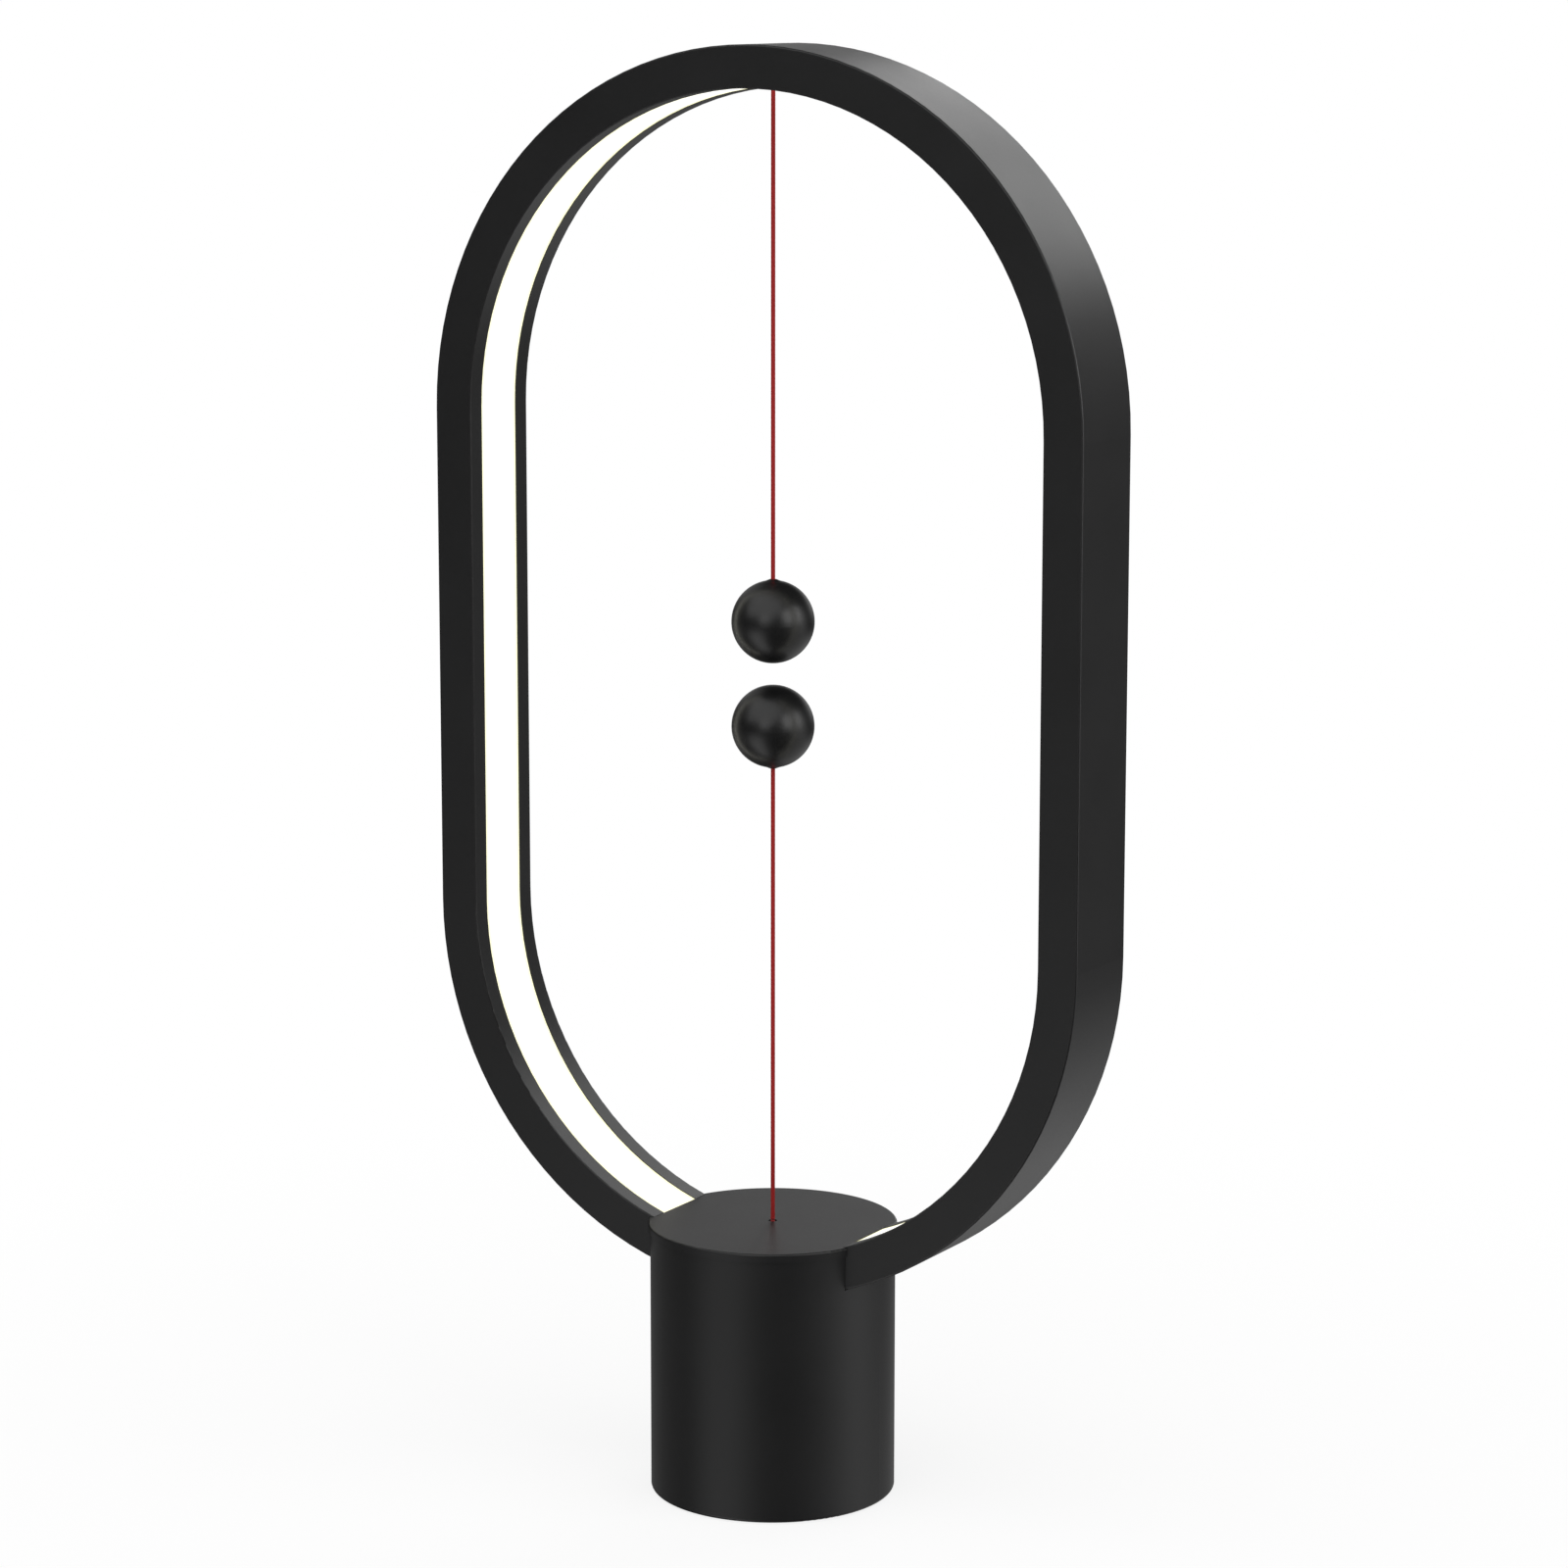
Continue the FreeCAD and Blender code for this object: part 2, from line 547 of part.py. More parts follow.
def make_ball(name, centre, direction):
    """One ball: direction is +1 when its magnet faces up and -1 when it faces down."""
    inner = BALL_RADIUS - BALL_WALL
    floor = math.sqrt(inner**2 - (MAGNET_RADIUS + FIT) ** 2)
    magnet_low, magnet_high = sorted((direction * floor, direction * (floor - MAGNET_HEIGHT)))
    seat = centre - direction * (BALL_RADIUS - KNOT_SEAT_DEPTH)
    magnet_half = make_magnet_half(direction)
    cord_half = make_cord_half(direction)
    for half in (magnet_half, cord_half):
        half.translate(vec(0, 0, centre))
    NODES[name + "_ball_magnet_half"] = magnet_half
    NODES[name + "_ball_cord_half"] = cord_half
    NODES[name + "_magnet"] = cylinder(MAGNET_RADIUS, centre + magnet_low, centre + magnet_high)
    NODES[name + "_ball_knot"] = knot(seat, direction)
    return seat


upper_seat = make_ball("upper", UPPER_BALL, -1)
lower_seat = make_ball("lower", LOWER_BALL, 1)
NODES["upper_cord_bend"] = Part.makeSphere(BEND_RADIUS, vec(0, 0, UPPER_PIVOT))
NODES["upper_cord"] = cylinder(CORD_RADIUS, upper_seat, UPPER_PIVOT - BEND_ROOM)
NODES["lower_cord_bend"] = Part.makeSphere(BEND_RADIUS, vec(0, 0, LOWER_PIVOT))
NODES["lower_cord"] = cylinder(CORD_RADIUS, LOWER_PIVOT + BEND_ROOM, lower_seat)


# ---------------------------------------------------------------- base
def make_base_housing():
    """Round housing with a shelf across it, open above the shelf for the ring and below for the works."""
    wall = tube(BASE_R, BASE_BORE, BASE_CLEARANCE, CAP_BOTTOM)
    low_edges = [e for e in wall.Edges if abs(e.BoundBox.ZMax - BASE_CLEARANCE) < 1e-3 and e.Closed]
    wall = wall.makeFillet(BASE_EDGE_RADIUS, [e for e in low_edges if e.BoundBox.XMax > BASE_R - FIT])
    shelf = cylinder(BASE_BORE + FIT, SHELF_BOTTOM, SHELF_TOP)
    bosses = []
    pilots = []
    for angle in BOSS_ANGLES:
        web = block(BOSS_CIRCLE, BASE_BORE + FIT, -BOSS_WEB / 2, BOSS_WEB / 2, PLATE_TOP, BALLAST_TOP)
        web.rotate(vec(0, 0, 0), vec(0, 0, 1), angle)
        bosses.append(web)
    for x, y in on_circle(BOSS_CIRCLE, BOSS_ANGLES):
        bosses.append(cylinder(BOSS_RADIUS, PLATE_TOP, BALLAST_TOP, x, y))
        pilots.append(cylinder(BOTTOM_SCREW[2] + SCREW_BITE, PLATE_TOP, BOTTOM_SCREW_TIP + SCREW_REST, x, y))
    housing = union(wall, shelf, *bosses)
    slot = stadium(-FIT, -HALF_DEPTH - FIT, HALF_DEPTH + FIT)
    half_w = USB_CUTOUT[0] / 2
    half_h = USB_CUTOUT[1] / 2
    usb = block(half_h - half_w, half_w - half_h, 0, BASE_R, USB_Z - half_h, USB_Z + half_h)
    usb_ends = [cylinder_y(half_h, 0, BASE_R, x, USB_Z) for x in (half_h - half_w, half_w - half_h)]
    cuts = [slot, cylinder(GUIDE_RADIUS + FIT, SHELF_BOTTOM, SHELF_TOP)]
    cuts.append(cylinder(LEAD_HOLE_RADIUS, SHELF_BOTTOM, SHELF_TOP, LEAD_HOLE_X))
    for x in FRAME_SCREW_PLACES:
        cuts.append(cylinder(FRAME_SCREW[2] + SCREW_CLEARANCE, SHELF_BOTTOM, SHELF_TOP, x))
    cuts.append(cylinder(SWITCH_SCREW[2] + SCREW_BITE, SHELF_BOTTOM, SHELF_TOP, SWITCH_X, BRACKET_SCREW_Y))
    return housing.cut(cuts + pilots).cut(union(usb, *usb_ends))


def make_top_cap():
    """Disc that closes the base between and around the ring's limbs, with a hole for the cord."""
    disc = cylinder(BASE_R + CAP_OVERHANG, CAP_BOTTOM, BASE_HEIGHT)
    rim = [e for e in disc.Edges if abs(e.BoundBox.ZMin - BASE_HEIGHT) < 1e-3 and e.Closed]
    disc = disc.makeFillet(CAP_EDGE_RADIUS, rim)
    outer = BASE_BORE - FIT
    spigot = tube(outer, outer - CAP_SPIGOT_WALL, CAP_BOTTOM - CAP_SPIGOT_HEIGHT, CAP_BOTTOM)
    high = BASE_HEIGHT + CAP_THICKNESS
    limb = HALF_DEPTH + FIT
    spigot = spigot.cut(block(-BASE_R, BASE_R, -limb, limb, 0, high))
    cap = union(disc, spigot)
    left = block(-BASE_DIAMETER, -CAP_HALF, -limb, limb, 0, high)
    right = block(CAP_HALF, BASE_DIAMETER, -limb, limb, 0, high)
    return cap.cut([left, right, cylinder(GUIDE_BORE, CAP_BOTTOM, high)])


def make_frame_saddle():
    """Hollow-topped block between the ring and the shelf."""
    half_l = SADDLE_LENGTH / 2
    half_w = SADDLE_WIDTH / 2
    body = block(-half_l, half_l, -half_w, half_w, SHELF_TOP, RING_BOTTOM + SADDLE_THICKNESS)
    cuts = [stadium(-FIT, -HALF_DEPTH, HALF_DEPTH)]
    high = RING_BOTTOM + SADDLE_THICKNESS
    cuts.append(cylinder(GUIDE_RADIUS + FIT, SHELF_TOP, high))
    cuts.append(cylinder(LEAD_HOLE_RADIUS, SHELF_TOP, high, LEAD_HOLE_X))
    for x in FRAME_SCREW_PLACES:
        cuts.append(cylinder(FRAME_SCREW[2] + SCREW_CLEARANCE, SHELF_TOP, high, x))
    return body.cut(cuts)


def make_cord_guide():
    """Slippery bush that leads the lower cord from the cap down through ring, saddle and shelf."""
    sleeve = cylinder(GUIDE_RADIUS, SHELF_BOTTOM, CAP_BOTTOM - FIT)
    flange = cylinder(GUIDE_FLANGE_RADIUS, GUIDE_BOTTOM, SHELF_BOTTOM)
    return union(sleeve, flange).cut(cylinder(GUIDE_BORE, GUIDE_BOTTOM, CAP_BOTTOM))


def make_bottom_plate():
    """Plate that closes the base, with posts for the board and seats for the screws and the foot."""
    plate = cylinder(BASE_BORE - FIT, BASE_CLEARANCE, PLATE_TOP)
    posts = []
    cuts = [cylinder(FOOT_RADIUS + FIT, BASE_CLEARANCE, FOOT_THICKNESS)]
    for x, y in on_circle(POST_CIRCLE, POST_ANGLES):
        posts.append(cylinder(POST_RADIUS, PLATE_TOP, BOARD_BOTTOM, x, y))
        cuts.append(cylinder(BOARD_SCREW[2] + SCREW_BITE, PLATE_TOP, BOARD_BOTTOM, x, y))
    head_r, head_h, shank_r = BOTTOM_SCREW
    for x, y in on_circle(BOSS_CIRCLE, BOSS_ANGLES):
        cuts.append(cylinder(shank_r + SCREW_CLEARANCE, BASE_CLEARANCE, PLATE_TOP, x, y))
        cuts.append(cylinder(head_r + SCREW_CLEARANCE, BASE_CLEARANCE, FOOT_THICKNESS + head_h, x, y))
    return union(plate, *posts).cut(cuts)


frame_screws = [
    screw(FRAME_SCREW, x, 0, SHELF_BOTTOM, RING_BOTTOM + FRAME_BOSS_HEIGHT - SCREW_REST)
    for x in FRAME_SCREW_PLACES
]
bottom_screws = [
    screw(BOTTOM_SCREW, x, y, FOOT_THICKNESS + BOTTOM_SCREW[1], BOTTOM_SCREW_TIP)
    for x, y in on_circle(BOSS_CIRCLE, BOSS_ANGLES)
]


# ---------------------------------------------------------------- pull switch
def make_plunger():
    """Stem that the lower cord pulls up: spring collar, foot under the lever, cup for the knot."""
    stem = cylinder(STEM_RADIUS, FOOT_BOTTOM, GUIDE_BOTTOM - PART_CLEARANCE)
    collar = cylinder(COLLAR_RADIUS, COLLAR_BOTTOM, COLLAR_TOP)
    foot = cylinder(FOOT_FLANGE_RADIUS, FOOT_BOTTOM, FOOT_TOP)
    cup_radius = KNOT_RADIUS + FIT
    cup = cylinder(cup_radius + KNOT_CUP_WALL, KNOT_CUP_BOTTOM, FOOT_BOTTOM)
    hollow = cylinder(cup_radius, KNOT_CUP_BOTTOM, KNOT_CEILING)
    hole = cylinder(CORD_RADIUS + CORD_CLEARANCE, KNOT_CEILING, GUIDE_BOTTOM)
    return union(stem, collar, foot, cup).cut([hollow, hole])


def make_return_spring():
    """Compression spring between the guide's flange and the plunger's collar, joined from half turns."""
    rise = SPRING_LENGTH - SPRING_WIRE - 2 * CORD_CLEARANCE
    low = COLLAR_TOP + SPRING_WIRE / 2 + CORD_CLEARANCE
    pitch = rise / SPRING_TURNS
    helix = Part.makeHelix(pitch, pitch / 2, SPRING_RADIUS)
    helix.translate(vec(0, 0, low))
    along = vec(0, 2 * math.pi * SPRING_RADIUS, pitch)
    section = Part.Wire(Part.makeCircle(SPRING_WIRE / 2, vec(SPRING_RADIUS, 0, low), along))
    half_turn = Part.Wire(helix).makePipeShell([section], True, True)
    wound = []
    for index in range(2 * SPRING_TURNS):
        piece = half_turn.copy()
        piece.rotate(vec(0, 0, 0), vec(0, 0, 1), 180 * index)
        piece.translate(vec(0, 0, index * pitch / 2))
        wound.append(piece)
    return wound[0].fuse(wound[1:]).Solids[0]


def make_switch_body():
    """Snap switch hung upside down: button and lever below, terminals above, lever pin in two lugs."""
    width = SWITCH_SIZE[1]
    body = block(SWITCH_MIN_X, SWITCH_MAX_X, -width / 2, width / 2, SWITCH_BOTTOM, SWITCH_TOP)
    lug_in = LEVER_WIDTH / 2 + FIT
    lug_out = width / 2
    lug_half = LEVER_EYE_RADIUS + FIT
    lugs = [
        block(
            LEVER_PIN_X - lug_half,
            LEVER_PIN_X + lug_half,
            min(side * lug_in, side * lug_out),
            max(side * lug_in, side * lug_out),
            LEVER_PIN_Z - LEVER_EYE_RADIUS,
            SWITCH_BOTTOM,
        )
        for side in (-1, 1)
    ]
    pin = cylinder_y(LEVER_PIN_RADIUS, -lug_out, lug_out, LEVER_PIN_X, LEVER_PIN_Z)
    half_t = TERMINAL_SIZE[0] / 2
    half_w = TERMINAL_SIZE[1] / 2
    terminals = [
        block(x - half_t, x + half_t, -half_w, half_w, SWITCH_TOP, TERMINAL_TOP) for x in TERMINAL_PLACES
    ]
    cuts = [cylinder(BUTTON_RADIUS + SLIDE_CLEARANCE, SWITCH_BOTTOM, SWITCH_BOTTOM + BUTTON_BORE, BUTTON_X)]
    for x in SWITCH_SCREW_PLACES:
        cuts.append(cylinder_y(SWITCH_SCREW[2] + SCREW_CLEARANCE, -width / 2, width / 2, x, SWITCH_SCREW_Z))
    return union(body, *lugs, pin, *terminals).cut(cuts)


def make_switch_lever():
    """Spring-steel lever rolled round its pin, pressed up by the plunger's foot."""
    strip = block(
        LEVER_PIN_X + LEVER_EYE_RADIUS / 2,
        LEVER_TIP_X,
        -LEVER_WIDTH / 2,
        LEVER_WIDTH / 2,
        LEVER_BOTTOM,
        LEVER_BOTTOM + LEVER_THICKNESS,
    )
    eye = cylinder_y(LEVER_EYE_RADIUS, -LEVER_WIDTH / 2, LEVER_WIDTH / 2, LEVER_PIN_X, LEVER_PIN_Z)
    bore = cylinder_y(LEVER_PIN_RADIUS + CORD_CLEARANCE, -LEVER_WIDTH, LEVER_WIDTH, LEVER_PIN_X, LEVER_PIN_Z)
    return union(strip, eye).cut(bore)


def make_switch_bracket():
    """Angle bracket under the shelf, with the switch screwed to its upright."""
    x0 = SWITCH_X - BRACKET_WIDTH / 2
    x1 = SWITCH_X + BRACKET_WIDTH / 2
    y0 = SWITCH_SIZE[1] / 2
    upright = block(x0, x1, y0, y0 + BRACKET_THICKNESS, SWITCH_BOTTOM, SHELF_BOTTOM)
    foot = block(x0, x1, y0, y0 + BRACKET_FOOT, SHELF_BOTTOM - BRACKET_THICKNESS, SHELF_BOTTOM)
    cuts = [
        cylinder_y(SWITCH_SCREW[2] + SCREW_BITE, y0, y0 + BRACKET_THICKNESS, sx, SWITCH_SCREW_Z)
        for sx in SWITCH_SCREW_PLACES
    ]
    hole_r = SWITCH_SCREW[2] + SCREW_CLEARANCE
    hole = cylinder(hole_r, SHELF_BOTTOM - BRACKET_THICKNESS, SHELF_BOTTOM, SWITCH_X, BRACKET_SCREW_Y)
    return union(upright, foot).cut(cuts + [hole])


def make_switch_screws():
    """Two small screws through the switch into its bracket."""
    screws = []
    front = -SWITCH_SIZE[1] / 2
    back = SWITCH_SIZE[1] / 2 + BRACKET_THICKNESS
    for x in SWITCH_SCREW_PLACES:
        head = cylinder_y(SWITCH_SCREW[0], front - SWITCH_SCREW[1], front, x, SWITCH_SCREW_Z)
        shank = cylinder_y(SWITCH_SCREW[2], front, back, x, SWITCH_SCREW_Z)
        screws.append(union(head, shank))
    return group(screws)


NODES["base_housing"] = make_base_housing()
NODES["top_cap"] = make_top_cap()
NODES["frame_saddle"] = make_frame_saddle()
NODES["cord_guide"] = make_cord_guide()
NODES["frame_screws"] = group(frame_screws)
NODES["bottom_plate"] = make_bottom_plate()
NODES["bottom_screws"] = group(bottom_screws)
NODES["foot_pad"] = cylinder(FOOT_RADIUS, 0, FOOT_THICKNESS)
NODES["ballast_weight"] = cylinder(BALLAST_RADIUS, PLATE_TOP, BALLAST_TOP)

NODES["pull_plunger"] = make_plunger()
NODES["lower_anchor_knot"] = knot(KNOT_CEILING, -1)
NODES["lower_cord_tail"] = cylinder(CORD_RADIUS, KNOT_CEILING, LOWER_PIVOT - BEND_ROOM)
NODES["return_spring"] = make_return_spring()
NODES["switch_body"] = make_switch_body()
NODES["switch_lever"] = make_switch_lever()
NODES["switch_button"] = cylinder(BUTTON_RADIUS, BUTTON_BOTTOM, BUTTON_BOTTOM + BUTTON_LENGTH, BUTTON_X)
NODES["switch_bracket"] = make_switch_bracket()
NODES["switch_screws"] = make_switch_screws()
NODES["bracket_screw"] = screw(
    SWITCH_SCREW, SWITCH_X, BRACKET_SCREW_Y, SHELF_BOTTOM - BRACKET_THICKNESS, SHELF_TOP - PART_CLEARANCE
)


# ---------------------------------------------------------------- electronics
def make_control_board():
    """Round circuit board on the posts, with holes for its screws."""
    board = cylinder(BASE_BORE - PART_CLEARANCE, BOARD_BOTTOM, BOARD_TOP)
    return board.cut(
        [
            cylinder(BOARD_SCREW[2] + SCREW_CLEARANCE, BOARD_BOTTOM, BOARD_TOP, x, y)
            for x, y in on_circle(POST_CIRCLE, POST_ANGLES)
        ]
    )


def on_board(size, place):
    """A rectangular part on the board, centred on its place."""
    x, y = place
    half_x = size[0] / 2
    half_y = size[1] / 2
    return block(x - half_x, x + half_x, y - half_y, y + half_y, BOARD_TOP, BOARD_TOP + size[2])


def make_board_parts():
    """What is soldered to the board: lead blocks, driver chip, coil, capacitors and resistors."""
    parts = [on_board(LEAD_BLOCK, (LEAD_HOLE_X, 0))]
    parts.append(on_board(LEAD_BLOCK[1::-1] + LEAD_BLOCK[2:], (SWITCH_X, -LEAD_LOOP)))
    parts.append(on_board(DRIVER_CHIP, DRIVER_PLACE))
    parts.append(on_board(COIL_SIZE, COIL_PLACE))
    for x, y in CAPACITOR_PLACES:
        parts.append(cylinder(CAPACITOR_RADIUS, BOARD_TOP, BOARD_TOP + CAPACITOR_HEIGHT, x, y))
    for index in range(RESISTOR_COUNT):
        x = RESISTOR_PITCH * (index - RESISTOR_COUNT / 2)
        parts.append(on_board(RESISTOR_SIZE, (x, RESISTOR_ROW)))
    return group(parts)


def make_usb_socket():
    """Power inlet: a folded steel shell round a plastic tongue, its mouth inside the cut-out."""
    width, depth, height = USB_SIZE
    front = BASE_R - USB_RECESS
    shell = block(-width / 2, width / 2, front - depth, front, BOARD_TOP, BOARD_TOP + height)
    edges = [e for e in shell.Edges if e.BoundBox.YLength > depth - FIT]
    shell = shell.makeFillet(height / 4, edges)
    inner = block(
        -width / 2 + USB_SHELL,
        width / 2 - USB_SHELL,
        front - depth + 2 * USB_SHELL,
        front,
        BOARD_TOP + USB_SHELL,
        BOARD_TOP + height - USB_SHELL,
    )
    half_tongue = USB_TONGUE[0] / 2
    tongue_front = front - USB_TONGUE[2]
    tongue = block(-half_tongue, half_tongue, front - depth, tongue_front, USB_Z, USB_Z + USB_TONGUE[1])
    return union(shell.cut(inner), tongue)


def make_led_leads():
    """Two wires from the end of the light strip through ring, saddle and shelf to the board."""
    start = STRIP_END + LEAD_HOLE_INSET
    floor = RING_BOTTOM + OUTER_R - math.sqrt((OUTER_R - CHIP_INSET) ** 2 - start**2)
    height = floor + LEAD_RADIUS + FIT
    wires = []
    for y in (-LEAD_SPACING / 2, LEAD_SPACING / 2):
        points = [
            vec(start, y, height),
            vec(LEAD_HOLE_X, y, height),
            vec(LEAD_HOLE_X, y, BOARD_TOP + LEAD_BLOCK[2]),
        ]
        wires.append(lead(points, LEAD_HOLE_INSET))
    return group(wires)


def make_switch_leads():
    """Two wires that loop from the outer terminals of the switch down to the board."""
    bend = LEAD_LOOP / 2 - FIT
    top = TERMINAL_TOP + LEAD_STUB + bend
    wires = []
    for x in (TERMINAL_PLACES[0], TERMINAL_PLACES[-1]):
        points = [
            vec(x, 0, TERMINAL_TOP),
            vec(x, 0, top),
            vec(x, -LEAD_LOOP, top),
            vec(x, -LEAD_LOOP, BOARD_TOP + LEAD_BLOCK[2]),
        ]
        wires.append(lead(points, bend))
    return group(wires)


board_screws = [
    screw(BOARD_SCREW, x, y, BOARD_TOP, PLATE_TOP + PART_CLEARANCE)
    for x, y in on_circle(POST_CIRCLE, POST_ANGLES)
]
NODES["control_board"] = make_control_board()
NODES["board_parts"] = make_board_parts()
NODES["board_screws"] = group(board_screws)
NODES["usb_socket"] = make_usb_socket()
NODES["led_leads"] = make_led_leads()
NODES["switch_leads"] = make_switch_leads()


# ---------------------------------------------------------------- export
os.makedirs("parts", exist_ok=True)
for node_name, shape in NODES.items():
    shape.exportStep(os.path.join("parts", node_name + ".step"))
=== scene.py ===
import math

import bmesh
import bpy
from mathutils import Matrix, Vector


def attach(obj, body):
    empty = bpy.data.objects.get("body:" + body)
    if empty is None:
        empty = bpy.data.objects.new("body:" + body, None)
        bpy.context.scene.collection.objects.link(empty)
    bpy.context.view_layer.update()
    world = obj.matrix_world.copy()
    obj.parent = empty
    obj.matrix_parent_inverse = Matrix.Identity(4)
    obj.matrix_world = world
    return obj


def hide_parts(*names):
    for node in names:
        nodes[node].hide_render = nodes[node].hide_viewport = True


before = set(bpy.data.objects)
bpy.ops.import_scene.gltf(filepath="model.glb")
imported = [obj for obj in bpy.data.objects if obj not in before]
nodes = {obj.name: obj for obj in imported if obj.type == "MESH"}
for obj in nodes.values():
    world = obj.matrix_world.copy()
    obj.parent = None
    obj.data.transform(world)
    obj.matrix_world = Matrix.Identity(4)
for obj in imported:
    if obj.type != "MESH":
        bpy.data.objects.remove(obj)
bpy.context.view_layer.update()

# ---------------------------------------------------------------- camera
# A long lens stands to the right of the lamp's front, a little above the upper ball, and looks
# slightly down, so the ring's outer wall shows on the right and its light strip on the left.
CAMERA_PLACE = (0.62233, -1.06193, 0.42039)
CAMERA_YAW = math.radians(30.232)
CAMERA_PITCH = math.radians(10.187)
CAMERA_ROLL = math.radians(0.045)
FOCAL_LENGTH = 105.347  # millimetres, as is the sensor's width
SENSOR_WIDTH = 36.0
NEAREST_SEEN = 0.05
FARTHEST_SEEN = 50.0

lens = bpy.data.cameras.new("lens")
lens.lens = FOCAL_LENGTH
lens.sensor_width = SENSOR_WIDTH
lens.clip_start = NEAREST_SEEN
lens.clip_end = FARTHEST_SEEN
camera = bpy.data.objects.new("camera", lens)
bpy.context.scene.collection.objects.link(camera)
turned = Matrix.Rotation(CAMERA_YAW, 4, "Z") @ Matrix.Rotation(math.pi / 2 - CAMERA_PITCH, 4, "X")
rolled = Matrix.Rotation(CAMERA_ROLL, 4, "Z")
camera.matrix_world = Matrix.Translation(CAMERA_PLACE) @ turned @ rolled
bpy.context.scene.camera = camera


# ---------------------------------------------------------------- cords
# Each ball is tied to a thin red braided cord. The upper one hangs from a hole in the light strip,
# the lower one comes up taut through the disc of the base. Both end in a knot inside their ball.
MM = 0.001
UPPER_PIVOT = 0.3864
UPPER_MIDDLE = 0.3180
UPPER_KNOT_SEAT = 0.2506
LOWER_PIVOT = 0.07705
LOWER_MIDDLE = 0.1427
LOWER_KNOT_SEAT = 0.2085
CORD_DIAMETER = 1.2 * MM
CORD_STRANDS = 4  # threads that wind each way round the core
CORD_LAY = 5.2 * MM  # height of one turn of a thread
CORD_SIDES = 32
CORD_STEP = 0.13 * MM  # between two rings of the mesh
CORD_TIP = 0.02 * MM  # keeps the end rings from closing to a point
THREAD_RELIEF = 0.05 * MM
THREAD_DIP = 0.28  # how far a thread sinks where it dives under another
CORD_RED = (0.275, 0.0085, 0.0085)
# A darker red: painted shade in the braid's crevices, and also mixed in at random along the fibres.
CORD_DARK_AND_CREVICE_SHADE = (0.195, 0.006, 0.006)


class Sock:
    """One value on its way through a finish: arithmetic on it adds the Math nodes."""

    def __init__(self, finish, socket):
        self.finish = finish
        self.socket = socket

    def maths(self, operation, *values):
        return self.finish.maths(operation, *values)

    def __add__(self, other):
        return self.maths("ADD", self, other)

    __radd__ = __add__

    def __sub__(self, other):
        return self.maths("SUBTRACT", self, other)

    def __rsub__(self, other):
        return self.maths("SUBTRACT", other, self)

    def __mul__(self, other):
        return self.maths("MULTIPLY", self, other)

    __rmul__ = __mul__

    def __pow__(self, other):
        return self.maths("POWER", self, other)

    def __abs__(self):
        return self.maths("ABSOLUTE", self)

    def sine(self):
        return self.maths("SINE", self)

    def above(self, level, width):
        """0 below the level, 1 from one width above it, and a smooth rise between."""
        steps = {"Value": self, "From Min": level, "From Max": level + width}
        return self.finish.node("ShaderNodeMapRange", {"interpolation_type": "SMOOTHSTEP"}, steps)


class Shade:
    """The node tree of a material or of the world, with short ways to add to it."""

    def __init__(self, holder):
        self.holder = holder
        holder.use_nodes = True
        self.tree = holder.node_tree

    def fill(self, node, inputs):
        for key, value in inputs.items():
            if isinstance(value, Sock):
                self.tree.links.new(value.socket, node.inputs[key])
            elif hasattr(value, "__len__") and len(value) == 3 and node.inputs[key].type == "RGBA":
                node.inputs[key].default_value = (*value, 1.0)
            else:
                node.inputs[key].default_value = value

    def node(self, kind, settings=None, inputs=None, output=0):
        """Adds a node from its type, its settings and the values or links of its sockets."""
        node = self.tree.nodes.new(kind)
        for key, value in (settings or {}).items():
            setattr(node, key, value)
        self.fill(node, inputs or {})
        return Sock(self, node.outputs[output])

    def maths(self, operation, *values):
        """A Math node on values or sockets."""
        return self.node("ShaderNodeMath", {"operation": operation}, dict(enumerate(values)))

    def place(self):
        """Where a point of the piece lies, in metres in the lamp's own frame."""
        return self.node("ShaderNodeTexCoord", output="Object")

    def axes(self):
        """The three coordinates of a point, in metres."""
        place = self.place()
        return [self.node("ShaderNodeSeparateXYZ", inputs={0: place}, output=i) for i in range(3)]

    def noise(self, size, detail=2.0, stretch=None):
        """Soft noise around 0.5 whose patches are about one size across."""
        place = self.place()
        if stretch:
            scaling = {0: place, 1: stretch}
            place = self.node("ShaderNodeVectorMath", {"operation": "MULTIPLY"}, scaling)
        inputs = {"Vector": place, "Scale": 1.0 / size, "Detail": detail, "Roughness": 0.5}
        return self.node("ShaderNodeTexNoise", inputs=inputs)

    def cells(self, size):
        """Distance to the nearest grain of a fine moulded or cast surface."""
        inputs = {"Vector": self.place(), "Scale": 1.0 / size}
        return self.node("ShaderNodeTexVoronoi", {"feature": "F1"}, inputs)

    def blend(self, factor, first, second):
        """A colour between two colours."""
        inputs = {0: factor, 6: first, 7: second}
        return self.node("ShaderNodeMix", {"data_type": "RGBA"}, inputs, output=2)


class Finish(Shade):
    """A surface finish for the lamp's pieces: one Principled shader and what feeds it."""

    def __init__(self, name, **constants):
        super().__init__(bpy.data.materials.new(name))
        self.shader = self.tree.nodes["Principled BSDF"]
        self.set(**{key.replace("_", " "): value for key, value in constants.items()})

    def set(self, **inputs):
        """Sets or links sockets of the shader, named with spaces as Blender names them."""
        self.fill(self.shader, inputs)

    def bump(self, height, distance, strength=1.0):
        """Fine relief too small to model, from a height in units of its distance."""
        inputs = {"Height": height, "Distance": distance, "Strength": strength}
        self.set(Normal=self.node("ShaderNodeBump", inputs=inputs))


def dress(finish, *names):
    """Gives CAD nodes a finish in place of their plain one."""
    for name in names:
        node = nodes[name]
        node.data.materials.clear()
        node.data.materials.append(finish.holder)


